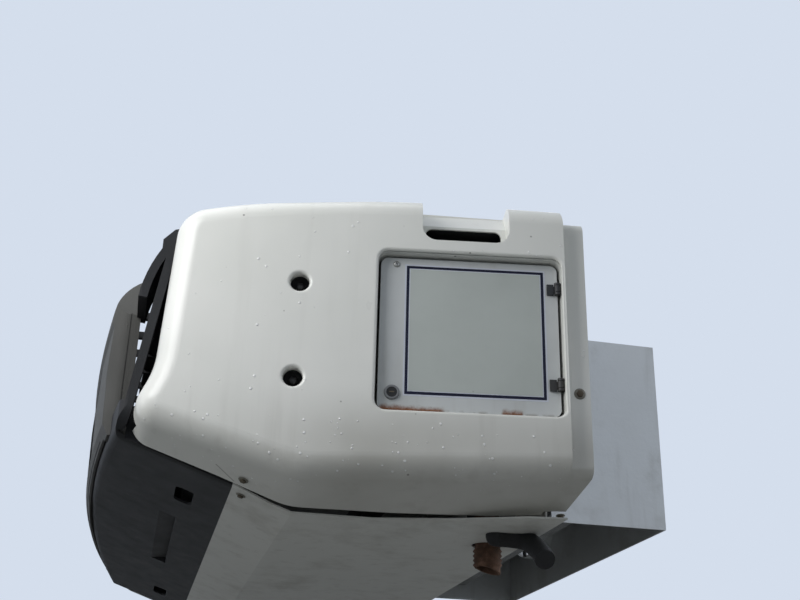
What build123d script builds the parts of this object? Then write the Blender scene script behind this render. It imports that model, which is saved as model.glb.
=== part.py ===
from build123d import *
import os
from math import cos, radians, sin, sqrt, tan

os.makedirs("parts", exist_ok=True)

# Sizes in millimetres, wall face at Y = 0, front toward -Y, left side +X
# Heights are drawn from the foot of the control door; save() puts the middle of the wall bolts at zero
DATUM_Z = 145.0
WALL_HALF = 970.0
SIDE_TAPER = 9.2
SKIN = 4.0
SEAT = 0.3
# Cutting bodies start this far ahead of the unit and end this far above it
AHEAD_Y = -900.0
OVER_Z = 700.0
TAN_TAPER = tan(radians(SIDE_TAPER))
COS_TAPER = cos(radians(SIDE_TAPER))
CORE_HALF = WALL_HALF - 218.0
TOP_SEAM_X = WALL_HALF - 330.0
LIP_HALF = WALL_HALF - 190.0

# Belly sheet and chin: a level sheet, then one plane that rises toward the front
BELLY_Z = -140.0
BELLY_T = 3.0
BEND_Y = -470.0
CHIN_REAR_Y = -574.0
RISE = 0.35

# Side covers: outline seen from the side (y, z, corner radius), underside line and rolled edges
REAR_Y = -46.0
REAR_GAP = 3.0
REAR_TOP = 402.0
FRONT_Y = -709.5
TOP_ROWS = [(-330.0, 408.0, 1500.0), (-590.0, 387.0, 900.0), (FRONT_Y, 360.7, 60.0)]
FRONT_ROWS = [(FRONT_Y - 14.7, 64.5, 150.0), (FRONT_Y - 159.5, -260.0, 0.0)]
UNDER_Z = BELLY_Z + 9.0
UNDER_BEND = (BEND_Y - 11.0, 150.0)
UNDER_SLOPE = tan(radians(12.0))
NOSE_R = 46.0
ROLL_R = 42.0

# Control door in the side's own frame: s runs forward along the side, n outward
DOOR_S = (57.0, 367.0)
DOOR_Z = (9.0, 289.0)
DOOR_N = -22.0
DOOR_T = 14.0
DOOR_R = 13.0
DOOR_GAP = 5.0
RECESS_N = -40.0
HINGE = {"s": 58.0, "n": -15.0, "half": 11.0, "knuckle": 6.0, "pin_r": 3.0, "eye_r": 5.5}
HINGE_Z = (64.0, 241.0)

side_frame = Location((WALL_HALF, 0, 0), (0, 0, -(90 + SIDE_TAPER)))


def on_side(shape):
    return side_frame * shape


def to_right(shape):
    return mirror(shape, about=Plane.YZ)


def box(x0, x1, y0, y1, z0, z1):
    size = Box(abs(x1 - x0), abs(y1 - y0), abs(z1 - z0))
    return Pos((x0 + x1) / 2, (y0 + y1) / 2, (z0 + z1) / 2) * size


def tube_y(x, z, y0, y1, r):
    return Pos(x, (y0 + y1) / 2, z) * (Rot(90, 0, 0) * Cylinder(r, abs(y1 - y0)))


def tube_x(y, z, x0, x1, r):
    return Pos((x0 + x1) / 2, y, z) * (Rot(0, 90, 0) * Cylinder(r, abs(x1 - x0)))


def tube_z(x, y, z0, z1, r):
    return Pos(x, y, (z0 + z1) / 2) * Cylinder(r, abs(z1 - z0))


def outline(rows):
    """A closed outline from rows of u, v and corner radius."""
    face = make_face(Polyline(*[(row[0], row[1]) for row in rows], close=True))
    for u, v, radius in rows:
        if radius:
            corner = [p for p in face.vertices() if abs(p.X - u) < 0.01 and abs(p.Y - v) < 0.01]
            face = fillet(corner, radius)
    return face


def along_x(face, x0, x1):
    """A side-view outline (y, z) run along X."""
    return extrude(Pos(x0, 0, 0) * (Plane.YZ * face), x1 - x0, dir=(1, 0, 0))


def prism_x(points, x0, x1):
    return along_x(make_face(Polyline(*points, close=True)), x0, x1)


def prism_z(face, z0, z1):
    """A plan outline (x, y) run along Z."""
    return extrude(Pos(0, 0, z0) * face, z1 - z0, dir=(0, 0, 1))


def plate_side(s, n, z, r):
    """A block in the side's frame, its outline rounded by r as seen from the side."""
    plane = Plane(origin=((s[0] + s[1]) / 2, n[0], (z[0] + z[1]) / 2), x_dir=(1, 0, 0), z_dir=(0, 1, 0))
    return extrude(plane * RectangleRounded(s[1] - s[0], z[1] - z[0], r), n[1] - n[0], dir=(0, 1, 0))


def grown(span, amount):
    return (span[0] - amount, span[1] + amount)


def under_z(y):
    return BELLY_Z + max(0.0, BEND_Y - y) * RISE


def top_line_z(y):
    """Height of the straight run of the top sheet just behind its front corner."""
    (y0, z0), (y1, z1) = [row[:2] for row in TOP_ROWS[1:]]
    return z0 + (z1 - z0) * (y - y0) / (y1 - y0)


def save(name, shape):
    shape = Pos(0, 0, -DATUM_Z) * shape
    shape.label = name
    export_step(shape, "parts/" + name + ".step")
    print(name, round(shape.volume / 1000.0), len(shape.solids()))


def side_outline(rear):
    low = FRONT_ROWS[-1][1]
    return outline([(rear, REAR_TOP, 0)] + TOP_ROWS + FRONT_ROWS + [(rear, low, 0)])


def cover_block(inset, rear, front, foot):
    """The left cover's volume between two places along Y, drawn in by inset, all edges sharp."""
    x0 = TOP_SEAM_X - 40.0
    x1 = WALL_HALF + 130.0
    nose_y = FRONT_Y - 190.0
    bend_y, bend_r = UNDER_BEND
    low = UNDER_Z - foot
    back = rear + abs(inset)
    side = side_outline(back)
    under = outline([(back, low, 0), (bend_y, low, bend_r), (nose_y, low + (bend_y - nose_y) * RISE, 0),
                     (nose_y, OVER_Z, 0), (back, OVER_Z, 0)])
    if inset:
        side = offset(side, amount=-inset)
        under = offset(under, amount=-inset)
    slant = Vector(1, 0, UNDER_SLOPE)
    start = Pos(x0, 0, (x0 - LIP_HALF) * UNDER_SLOPE)
    lower = extrude(start * (Plane.YZ * under), (x1 - x0) * slant.length, dir=tuple(slant))
    seam = TOP_SEAM_X - abs(inset)
    flank = WALL_HALF - inset / COS_TAPER
    plan = make_face(Polyline((seam, rear), (flank + rear * TAN_TAPER, rear),
                              (flank + front * TAN_TAPER, front), (seam, front), close=True))
    return (along_x(side, x0, x1) & lower & prism_z(plan, -400, 800)).solids()[0]


def rolled(block, inset):
    """Rounds the edges that run round the cover's flat side."""
    flank = Vector(WALL_HALF - inset / COS_TAPER, 0, 0)
    normal = Vector(COS_TAPER, -sin(radians(SIDE_TAPER)), 0)
    rim = [e for e in block.edges() if all(abs((e @ t - flank).dot(normal)) < 0.05 for t in (0, 0.5, 1))
           and e.bounding_box().size.Y > 1.0]
    return block.fillet(ROLL_R - inset, rim)


def cover_body(inset, rear):
    """The closed volume of the left cover drawn in by inset."""
    block = cover_block(inset, rear, FRONT_Y - 190.0, 0.0)
    nose = [e for e in block.edges() if max((e @ 0).Y, (e @ 1).Y) < FRONT_Y - 30.0
            and (e @ 0).Z < 0 and abs((e @ 0).X - (e @ 1).X) > 50]
    return rolled(block.fillet(NOSE_R - inset, nose), inset)


print("covers")
RECESS_S = grown(DOOR_S, DOOR_GAP)
RECESS_Z = grown(DOOR_Z, DOOR_GAP)
RECESS_R = DOOR_R + DOOR_GAP
RIM_R = 6.0
PORTS = [{"s": 506.0, "z": 225.0}, {"s": 508.0, "z": 53.0}]
PORT_R = 16.5
PORT_N = -30.0
GRIP = {"s": (143.0, 297.0), "z": (318.0, 470.0), "corner": 26.0}
# The grip's back wall, upright at the slot and leaning inward above it: n and z
GRIP_BACK = [(-42.0, 250.0), (-42.0, 366.0), (-74.0, 402.0), (-74.0, 520.0)]
GRIP_SLOT = {"s": (152.0, 288.0), "z": (323.0, 361.0), "corner": 12.0}
STRIP_STEP = 22.0
STRIP_FOOT = 16.0
GRILLE_X = WALL_HALF - 178.0
GRILLE_Z = (-26.0, 330.0)
# Inner edge of the covers' underside: y and distance in from the wall's half width
LIP_LINE = [(60.0, 150.0), (-20.0, 158.0), (-137.0, 183.0), (-300.0, 199.0), (-480.0, 206.0), (-600.0, 204.0),
            (-800.0, 211.0)]

outer = cover_body(0.0, REAR_Y)
inner = cover_body(SKIN, REAR_Y + 20.0)
lip = [(WALL_HALF - draw, y) for y, draw in LIP_LINE]
lip_inside = TOP_SEAM_X - 140.0
lip = lip + [(lip_inside, LIP_LINE[-1][0]), (lip_inside, LIP_LINE[0][0])]
floor_hole = prism_z(make_face(Polyline(*lip, close=True)), -300, 40)


def grille_hole(draw):
    return box(lip_inside, GRILLE_X - draw, AHEAD_Y, FRONT_Y + 20.0, GRILLE_Z[0] + draw, GRILLE_Z[1] - draw)


def grip_room(grow):
    span = grown(GRIP["s"], grow)
    height = (GRIP["z"][0] - grow, GRIP["z"][1] + grow)
    room = plate_side(span, (GRIP_BACK[-1][0] - grow, 60.0), height, GRIP["corner"] + grow)
    back = [(n - grow, z) for n, z in GRIP_BACK] + [(70.0, 520.0), (70.0, 250.0)]
    start = Plane(origin=(span[0] - 1, 0, 0), x_dir=(0, 1, 0), z_dir=(1, 0, 0))
    section = start * make_face(Polyline(*back, close=True))
    return on_side(room & extrude(section, span[1] - span[0] + 2, dir=(1, 0, 0)))

slot_n = (GRIP_BACK[0][0] - 20.0, GRIP_BACK[0][0] + 5.0)
grip_slot = on_side(plate_side(GRIP_SLOT["s"], slot_n, GRIP_SLOT["z"], GRIP_SLOT["corner"]))


def port_room(grow):
    rooms = [tube_y(row["s"], row["z"], PORT_N - grow, 20.0, PORT_R + grow) for row in PORTS]
    return on_side(rooms[0] + rooms[1])


def flank_edges(shape, s, z):
    """The edges that lie in the cover's flat side, within the given stretch."""
    found = []
    for edge in shape.edges():
        spots = [side_frame.inverse() * Pos(*tuple(edge @ t)) for t in (0, 0.5, 1)]
        spots = [spot.position for spot in spots]
        flat = all(abs(p.Y) < 0.02 for p in spots)
        if flat and all(s[0] < p.X < s[1] and z[0] < p.Z < z[1] for p in spots):
            found.append(edge)
    return found


# Stepped strip at the wall, joined to the cover by a short return
slab = box(TOP_SEAM_X, WALL_HALF + 100, REAR_Y - SKIN, 0, -300, 500)
strip_core = rolled(cover_block(STRIP_STEP + SKIN, 20.0, -150.0, STRIP_FOOT), STRIP_STEP + SKIN)
strip = rolled(cover_block(STRIP_STEP, -REAR_GAP, -100.0, STRIP_FOOT), STRIP_STEP) & slab
strip = strip - strip_core
step_ring = (cover_body(0.5, REAR_Y) & slab) - strip_core


# The door's recess: a well through the skin, with a sleeve back to the control box
recess = on_side(plate_side(RECESS_S, (RECESS_N - 1.0, 30.0), RECESS_Z, RECESS_R))
sleeve = plate_side(grown(RECESS_S, SKIN), (RECESS_N, -RIM_R - 1.0), grown(RECESS_Z, SKIN), RECESS_R + SKIN)
sleeve = on_side(sleeve)


def cover(with_door):
    face = outer - port_room(0.0) - grip_room(0.0)
    room = inner - port_room(SKIN) - grip_room(SKIN)
    rims = []
    for row in PORTS:
        rims.append(((row["s"] - 20, row["s"] + 20), (row["z"] - 20, row["z"] + 20)))
    if with_door:
        face = face - recess
        rims.append((grown(RECESS_S, 1.0), grown(RECESS_Z, 1.0)))
    for s, z in rims:
        face = face.fillet(RIM_R, flank_edges(face, s, z))
    shape = (face - room - grip_slot) + strip + step_ring
    if with_door:
        shape = shape + sleeve - recess
    return shape - floor_hole - grille_hole(0.0)


save("left_cover", cover(True))
save("right_cover", to_right(cover(False)))

print("top cover")
TOP_GAP = 3.0
TOP_FRONT_Y = FRONT_Y + 9.5
OUTLET_X = (-330.0, 330.0)
OUTLET_W = 420.0
OUTLET_Y = (-560.0, -330.0)
OUTLET_LEDGE = 14.0
GRID_T = 10.0
GRID_SINK = 2.0
top_half = TOP_SEAM_X - TOP_GAP
top_block = along_x(side_outline(0.0), -top_half, top_half)


def top_layer(upper, lower):
    """The layer between two depths below the top surface, curved as the top is."""
    return Pos(0, 0, -upper) * top_block - Pos(0, 0, -lower) * top_block


top_cover = top_layer(0.0, SKIN) & box(-top_half, top_half, TOP_FRONT_Y, -REAR_GAP, 300, 500)
for x in OUTLET_X:
    top_cover = top_cover - box(x - OUTLET_W / 2, x + OUTLET_W / 2, OUTLET_Y[0], OUTLET_Y[1], 300, 500)
save("top_cover", top_cover)


def outlet_grid(x):
    """One outlet's frame with its crossing bars."""
    x0 = x - OUTLET_W / 2
    x1 = x + OUTLET_W / 2
    y0, y1 = OUTLET_Y
    ledge = OUTLET_LEDGE
    rim = box(x0 - ledge, x1 + ledge, y0 - ledge, y1 + ledge, 300, 500)
    rim = rim - box(x0 + 6, x1 - 6, y0 + 6, y1 - 6, 300, 500)
    bars = None
    for k in range(1, 6):
        y = y0 + (y1 - y0) * k / 6
        bar = box(x0, x1, y - 2.5, y + 2.5, 300, 500)
        bars = bar if bars is None else bars + bar
    for k in range(1, 4):
        x = x0 + OUTLET_W * k / 4
        bars = bars + box(x - 2.5, x + 2.5, y0, y1, 300, 500)
    upper = SKIN + SEAT
    return (rim & top_layer(upper, upper + GRID_T)) + (bars & top_layer(upper + GRID_SINK, upper + GRID_T))


save("outlet_grilles", outlet_grid(OUTLET_X[0]) + outlet_grid(OUTLET_X[1]))

print("front")
# The grille, chin and shield bend about one upright axis far behind the unit
FRONT_R = 5900.0
FRONT_AXIS_Y = FRONT_Y - 116.5 + FRONT_R
BEZEL_X = (WALL_HALF - 204.0, WALL_HALF - 182.0)
BEZEL_CORNER = 14.0
BAR_T = 15.0
SEAM = 1.5
RIB_COUNT = 12
RIB_PITCH = 107.0
RIB_T = 12.0
RIB_Z = (288.0, 302.0)
CHIN_T = 5.0
CHIN_TOP = 20.0
CHIN_EDGE_R = 16.0
CHIN_CORNER = 50.0
SLOT = {"x": CORE_HALF - 203.0, "y": CHIN_REAR_Y - 72.0, "w": 100.0, "d": 34.0, "r": 11.0}
POCKET = {"x": (-140.0, 360.0), "y": (-712.0, -650.0), "deep": 12.0}


def front_arc(depth, half):
    """The convex front line in plan, depth ahead of the bezel's, between -half and half."""
    edge = FRONT_AXIS_Y - sqrt((FRONT_R + depth) ** 2 - half * half)
    return ThreePointArc((-half, edge), (0.0, FRONT_AXIS_Y - FRONT_R - depth), (half, edge))


def front_plan(depth, half, rear, corner=0.0):
    """A plan with the convex front line, its front corners rounded where a radius is given."""
    arc = front_arc(depth, half)
    left, right = arc @ 0, arc @ 1
    lines = [arc, Line(right, (half, rear)), Line((half, rear), (-half, rear)), Line((-half, rear), left)]
    face = make_face(Curve() + lines)
    front = [p for p in face.vertices() if p.Y < rear - 1.0]
    return fillet(front, corner) if corner else face


def chin_body(inset):
    """The chin's closed volume; the inner one runs out through its top and rear."""
    half = BEZEL_X[1] - inset
    hip = CORE_HALF - inset
    rear = CHIN_REAR_Y + 8 * inset
    top = CHIN_TOP + 40 * inset
    plan = prism_z(front_plan(-inset, half, FRONT_Y - 50.0), -300, 600)
    plan = plan + box(-hip, hip, FRONT_Y - 54.0, rear, -300, 600)
    low = under_z(AHEAD_Y) + inset
    profile = [(rear, under_z(rear) + inset), (AHEAD_Y, low), (AHEAD_Y, top), (rear, top)]
    return plan & prism_x(profile, -WALL_HALF, WALL_HALF)


def sloped_front(half, corner):
    """A front view with rounded lower corners, run rearward along the chin's slope."""
    low = under_z(AHEAD_Y)
    rows = [(-half, low, corner), (half, low, corner), (half, OVER_Z, 0), (-half, OVER_Z, 0)]
    start = Plane(origin=(0, AHEAD_Y, 0), x_dir=(1, 0, 0), z_dir=(0, -1, 0))
    run = Vector(0, 1, -RISE)
    return extrude(start * outline(rows), 400.0 * run.length, dir=tuple(run))


chin_outer = chin_body(0.0)
low_front = [e for e in chin_outer.edges() if e.length > WALL_HALF and (e @ 0.5).Y < FRONT_Y - 100.0
             and (e @ 0.5).Z < 0]
chin_outer = chin_outer.fillet(CHIN_EDGE_R, low_front)
pocket = box(*POCKET["x"], *POCKET["y"], -200, under_z(POCKET["y"][1]) + POCKET["deep"])
pocket_walls = box(*grown(POCKET["x"], CHIN_T), *grown(POCKET["y"], CHIN_T), -200,
                   under_z(POCKET["y"][1]) + POCKET["deep"] + CHIN_T)
bezel = chin_outer - pocket - (chin_body(CHIN_T) - pocket_walls)
for side in (-1, 1):
    hole = Pos(side * SLOT["x"], SLOT["y"]) * RectangleRounded(SLOT["w"], SLOT["d"], SLOT["r"])
    bezel = bezel - prism_z(hole, -200, 200)

STRIP_LINE = FilletPolyline((FRONT_Y - 5.5, 318.0), (FRONT_Y - 52.5, -8.0), (FRONT_Y - 80.5, -72.0),
                            radius=90.0)
CAP_LINE = ThreePointArc((FRONT_Y + 3.0, 334.0), (FRONT_Y - 25.0, 289.0), (FRONT_Y - 49.0, 208.0))
CAP_W = 124.0
strip_bar = along_x(trace(STRIP_LINE, BAR_T), *BEZEL_X)
cap_bar = along_x(trace(CAP_LINE, BAR_T), BEZEL_X[1] - CAP_W, BEZEL_X[1])
for bar in (strip_bar, cap_bar):
    bezel = bezel + bar + to_right(bar)
top_bar = [(7.5, 348.0), (-6.5, 344.0), (-25.5, 322.0), (-25.5, 290.0), (-12.5, 290.0), (-2.5, 326.0),
           (9.5, 336.0)]
bezel = bezel + prism_x([(FRONT_Y + y, z) for y, z in top_bar], -BEZEL_X[1], BEZEL_X[1])
# The ribs end at the shield's rear edge, on a cylinder about the front's axis
shield_rear = FRONT_Y - 89.5
rib_room = Pos(0, FRONT_AXIS_Y, 200) * Cylinder(FRONT_AXIS_Y - shield_rear - SEAT, 400)
ribs = None
for k in range(RIB_COUNT):
    x = (k - (RIB_COUNT - 1) / 2) * RIB_PITCH
    rib = box(x - RIB_T / 2, x + RIB_T / 2, FRONT_Y - 122.5, FRONT_Y - 18.5, *RIB_Z)
    ribs = rib if ribs is None else ribs + rib
bezel = bezel + (ribs & rib_room)
bezel = bezel & sloped_front(BEZEL_X[1], CHIN_CORNER)
bezel = bezel & prism_z(front_plan(0.0, BEZEL_X[1], CHIN_REAR_Y + 10.0, BEZEL_CORNER), -300, 600)
clear = cover_body(-SEAM, REAR_Y) - floor_hole - grille_hole(SEAM)
bezel = bezel - clear - to_right(clear)

SHIELD_T = 4.0
SHIELD_HALF = WALL_HALF - 284.0
SHIELD_CURL_R = 32.0
SHIELD_CORNER = (58.0, 214.0)
SHIELD_TOP = 304.0
SHIELD_LOW = -14.0
GROOVE = {"y": 16.0, "w": 3.0, "deep": 1.5}
# Lower part of the shield's section: y from the top sheet's front corner, z
SHIELD_FACE = [(-136.5, 200.0), (-132.5, 190.0), (-134.5, 100.0), (-131.5, 8.0), (-121.5, SHIELD_LOW)]


def shield_section(inset):
    face_points = [(FRONT_Y + y, z) for y, z in SHIELD_FACE]
    brow = ThreePointArc((shield_rear, SHIELD_TOP), (FRONT_Y - 120.5, 266.0), face_points[0])
    lines = [brow, Polyline(*face_points), Line(face_points[-1], (shield_rear, SHIELD_LOW)),
             Line((shield_rear, SHIELD_LOW), (shield_rear, SHIELD_TOP))]
    face = make_face(Curve() + lines)
    return offset(face, amount=-inset) if inset else face


def bent(face):
    """A section swung to both sides about the front's axis."""
    axis = Axis((0, FRONT_AXIS_Y, 0), (0, 0, 1))
    return revolve(Plane.YZ * face, axis=axis, revolution_arc=16.0).rotate(axis, -8.0)


def shield_body(inset):
    half = SHIELD_HALF - inset
    plan = prism_z(front_plan(20.5, half, -640.0, SHIELD_CURL_R - inset), -300, 600)
    step, shoulder = SHIELD_CORNER
    top = SHIELD_TOP + 20.0
    slope = (top - shoulder) / (SHIELD_TOP - shoulder)
    inside = half - step * slope
    view = [(-half, -400.0), (half, -400.0), (half, shoulder), (inside, top), (-inside, top),
            (-half, shoulder)]
    plane = Plane(origin=(0, 0, 0), x_dir=(1, 0, 0), z_dir=(0, -1, 0))
    front = extrude(plane * make_face(Polyline(*view, close=True)), 1000, dir=(0, -1, 0))
    return bent(shield_section(inset)) & plan & front


whole_shield = shield_body(0.0)
shield = whole_shield - shield_body(SHIELD_T)
back_low = SHIELD_LOW + SHIELD_T
back_high = SHIELD_TOP - 14.0
back_room = Pos(shield_rear + 3.0, (back_low + back_high) / 2) * Rectangle(14.0, back_high - back_low)
between_sides = box(-SHIELD_HALF + SHIELD_T, SHIELD_HALF - SHIELD_T, AHEAD_Y, -600, -100, 500)
shield = shield - (bent(back_room) & between_sides)
shield = shield - box(-SHIELD_HALF + 46, SHIELD_HALF - 46, FRONT_Y - 120.5, -700, -40, SHIELD_LOW + 4.5)
groove_line = Pos(shield_rear - GROOVE["y"], 150.0) * Rectangle(GROOVE["w"], 500.0)
groove_core = prism_z(front_plan(40.0, SHIELD_HALF - GROOVE["deep"], -640.0, SHIELD_CURL_R), -300, 600)
shield = shield - (bent(groove_line) - groove_core)
INTAKES = [{"z": 52.0, "h": 84.0}, {"z": 146.0, "h": 84.0}]
INTAKE_W = 900.0
SLAT_PITCH = 21.0
SLAT_SECTION = [(-133.0, -3.0), (-133.0, 0.0), (-108.5, 12.0), (-108.5, 9.0)]
for row in INTAKES:
    plane = Plane(origin=(0, -700, row["z"]), x_dir=(1, 0, 0), z_dir=(0, -1, 0))
    shield = shield - extrude(plane * RectangleRounded(INTAKE_W, row["h"], 12.0), 300, dir=(0, -1, 0))
    for k in range(-1, 2):
        z = row["z"] + k * SLAT_PITCH
        slat = [(FRONT_Y + y, z + dz) for y, dz in SLAT_SECTION]
        shield = shield + (prism_x(slat, -INTAKE_W / 2 - 2, INTAKE_W / 2 + 2) & whole_shield)
save("front_shield", shield)
save("grille_frame", bezel - shield)

print("wall frame and base")
COIL_HALF = CORE_HALF - 88.0
COIL_Y = (FRONT_Y + 9.5, FRONT_Y + 45.5)
COIL_Z = (-30.0, 322.0)
FRAME_X = WALL_HALF - 40.0
FRAME_Z = (-76.0, 366.0)
RAIL_W = 62.0
PLATE_T = 8.0
RIM_Y = -37.0
RIM_T = 5.0
BOLT_X = (WALL_HALF - 100.0, 290.0)
BOLT_DZ = 190.0
BOLT_R = 7.0


def frame_plate(draw, y0, y1):
    """The wall frame's outline, lower corners cut off, as a plate from y0 to y1."""
    x = FRAME_X - draw
    low = FRAME_Z[0] + draw
    top = FRAME_Z[1] - draw
    cut = 35.0 - draw * 0.4
    points = [(x, top), (x, low + cut), (x - cut, low), (-x + cut, low), (-x, low + cut), (-x, top)]
    plane = Plane(origin=(0, y1, 0), x_dir=(1, 0, 0), z_dir=(0, -1, 0))
    return extrude(plane * make_face(Polyline(*points, close=True)), y1 - y0, dir=(0, -1, 0))


window_x = FRAME_X - RAIL_W
window_z = (FRAME_Z[0] + RAIL_W, FRAME_Z[1] - RAIL_W)
frame = frame_plate(0.0, -PLATE_T, 0.0) - box(-window_x, window_x, -20, 20, *window_z)
frame = frame + (frame_plate(0.0, RIM_Y, -PLATE_T) - frame_plate(RIM_T, -60.0, 20.0))
for side in (-1, 1):
    x = side * (FRAME_X - 230.0)
    frame = frame + box(x - 20, x + 20, -PLATE_T, 0, *FRAME_Z)
for x in BOLT_X:
    for side in (-1, 1):
        for dz in (-BOLT_DZ, BOLT_DZ):
            frame = frame - tube_y(side * x, DATUM_Z + dz, -30, 10, BOLT_R)
save("mounting_frame", frame)

EVAP_X = 500.0
EVAP_Z = (-60.0, 345.0)
WALL_T = 90.0
BULK_Y = -48.0
bulk_x = CORE_HALF - 30.0
bulkhead = box(-bulk_x, bulk_x, BULK_Y, -PLATE_T, FRAME_Z[0] + 8, FRAME_Z[1] - 8)
bulkhead = bulkhead + box(-EVAP_X - 8, EVAP_X + 8, -PLATE_T, WALL_T, window_z[0] + 2, window_z[1] - 2)
save("bulkhead", bulkhead)

RAIL_X = 430.0
RAIL_Z = (BELLY_Z + BELLY_T, BELLY_Z + 43.0)
CROSS_Z = (RAIL_Z[1], RAIL_Z[1] + 33.0)
CROSS_Y = (-540.0, -300.0)
SHROUD_Y = (COIL_Y[1] + 16.0, COIL_Y[1] + 76.0)
side_x = CORE_HALF - 62.0
post_y = SHROUD_Y[0] - 12.0
roof_z = top_line_z(post_y) - SKIN - SEAT
base = None
for x in (-RAIL_X, RAIL_X):
    legs = box(x - 25, x + 25, BEND_Y + 2, BULK_Y, *RAIL_Z)
    legs = legs + box(x - 25, x + 25, CROSS_Y[0] - 20, BULK_Y, CROSS_Z[0], CROSS_Z[0] + 8)
    legs = legs + box(x - 25, x + 25, BULK_Y - 12, BULK_Y, RAIL_Z[0], 60)
    base = legs if base is None else base + legs
for y in CROSS_Y:
    base = base + box(-side_x - 25, side_x + 25, y - 20, y + 20, *CROSS_Z)
for x in (-side_x, side_x):
    base = base + box(x - 15, x + 15, post_y, CROSS_Y[0] + 20, CROSS_Z[1], CROSS_Z[1] + 10)
    base = base + box(x - 15, x + 15, post_y, SHROUD_Y[0], CROSS_Z[1], roof_z)
base = base + box(-side_x - 15, side_x + 15, post_y, SHROUD_Y[0], COIL_Z[1] + 4, roof_z)
base = base + box(-side_x, side_x, COIL_Y[0] - 2, SHROUD_Y[0], COIL_Z[0] - 8, COIL_Z[0])
save("base_frame", base)

print("belly")
EXHAUST = {"x": WALL_HALF - 370.0, "y": -78.0, "r": 24.0, "end": -186.0}
# Outer edge of the belly sheet: y and distance in from the wall's half width
BELLY_EDGE = [(-14.0, 120.0), (-79.0, 131.0), (-200.0, 188.0), (-330.0, 226.0), (-505.0, 227.0),
              (CHIN_REAR_Y, 207.0)]
sheet = [(-14.0, BELLY_Z), (BEND_Y, BELLY_Z), (CHIN_REAR_Y, under_z(CHIN_REAR_Y))]
sheet = sheet + [(y, z + BELLY_T) for y, z in reversed(sheet)]
edge = [(WALL_HALF - draw, y) for y, draw in BELLY_EDGE]
edge = edge + [(-x, y) for x, y in reversed(edge)]
pan = prism_x(sheet, -WALL_HALF, WALL_HALF) & prism_z(make_face(Polyline(*edge, close=True)), -300, 100)
pan = pan + box(-CORE_HALF, CORE_HALF, -17, -14, BELLY_Z, FRAME_Z[0])
pan = pan - tube_z(EXHAUST["x"], EXHAUST["y"], -200, 0, EXHAUST["r"] + 6)
save("belly_pan", pan)

print("cooling pack")
COIL_SPLIT = (150.0, 156.0)
FAN_X = COIL_HALF / 2 - 2.0
FANS = [{"name": "left", "x": FAN_X}, {"name": "right", "x": -FAN_X}]
FAN_Z = 146.0
FAN_R = 140.0
FAN_GAP = 9.0
FAN_Y = (SHROUD_Y[0] + 12.0, SHROUD_Y[0] + 42.0)
RING_T = 3.0
SHAFT_GAP = 0.3
ARM_T = 5.0
save("condenser_coil", box(-COIL_HALF, COIL_SPLIT[0], *COIL_Y, *COIL_Z))
save("radiator", box(COIL_SPLIT[1], COIL_HALF, *COIL_Y, *COIL_Z))
shroud = box(-side_x, side_x, SHROUD_Y[0], SHROUD_Y[0] + 4, COIL_Z[0], COIL_Z[1] - 6)
for row in FANS:
    shroud = shroud + tube_y(row["x"], FAN_Z, *SHROUD_Y, FAN_R + FAN_GAP + RING_T)
for row in FANS:
    shroud = shroud - tube_y(row["x"], FAN_Z, -720, -500, FAN_R + FAN_GAP)
save("fan_shroud", shroud)


def fan(x, z, y0, y1, radius, hub, blades, pitch):
    """A hub with flat pitched blades, their tips inside the radius."""
    body = tube_y(x, z, y0, y1, hub)
    chord = (y1 - y0) / sin(radians(abs(pitch))) * 0.8
    reach = sqrt(radius ** 2 - (chord / 2) ** 2)
    blade = Box(reach - hub + 8, 3.0, chord)
    for k in range(blades):
        one = Pos((reach + hub - 8) / 2, 0, 0) * (Rot(pitch, 0, 0) * blade)
        body = body + Pos(x, (y0 + y1) / 2, z) * (Rot(0, k * 360.0 / blades, 0) * one)
    return body


def motor(x, z, casing, shaft, plane_y, radius, hub, toward):
    """A fan motor with its shaft end and three arms that carry it."""
    body = tube_y(x, z, *casing, hub) + tube_y(x, z, *shaft, 9.0)
    arm = Pos((radius + hub - 4) / 2, 0, 0) * Box(radius - hub + 4, ARM_T, 16.0)
    for k in range(3):
        body = body + Pos(x, plane_y + toward * ARM_T / 2, z) * (Rot(0, 90 + k * 120, 0) * arm)
    return body


motors = []
for row in FANS:
    save("condenser_fan_" + row["name"], fan(row["x"], FAN_Z, *FAN_Y, FAN_R, 40.0, 7, 28.0))
    casing = (FAN_Y[1] + 10.0, SHROUD_Y[1] + 48.0)
    shaft = (FAN_Y[1] + SHAFT_GAP, FAN_Y[1] + 14.0)
    motors.append(motor(row["x"], FAN_Z, casing, shaft, SHROUD_Y[1], FAN_R + FAN_GAP + 2, 44.0, 1))
save("fan_motors", motors[0] + motors[1])

print("power pack")
MUFFLER = {"y": -115.0, "z": 290.0, "r": 52.0}
save("engine_block", box(-400, -30, -500, -180, CROSS_Z[1], 230))
save("compressor", box(20, 300, -470, -120, CROSS_Z[1], 60) + tube_y(160, 60, -450, -140, 60))
save("standby_motor", tube_x(-260.0, 200.0, 20, 330, 72) + box(60, 290, -320, -200, 120, 150))
muffler = tube_x(MUFFLER["y"], MUFFLER["z"], -380, 260, MUFFLER["r"])
for x in (-250.0, 130.0):
    muffler = muffler + box(x - 12, x + 12, MUFFLER["y"] + 40, BULK_Y, MUFFLER["z"] - 25, MUFFLER["z"] + 25)
save("muffler", muffler)
save("receiver_tank", tube_z(560, -330, CROSS_Z[1], 250, 62))
pipe_start = (260.0, MUFFLER["y"], MUFFLER["z"])
pipe_path = FilletPolyline(pipe_start, (EXHAUST["x"], MUFFLER["y"], MUFFLER["z"]),
                           (EXHAUST["x"], EXHAUST["y"], 20.0), (EXHAUST["x"], EXHAUST["y"], EXHAUST["end"] - 20.0), radius=60.0)
pipe = sweep(Plane(origin=pipe_start, z_dir=(1, 0, 0)) * Circle(EXHAUST["r"]), path=pipe_path)
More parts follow.
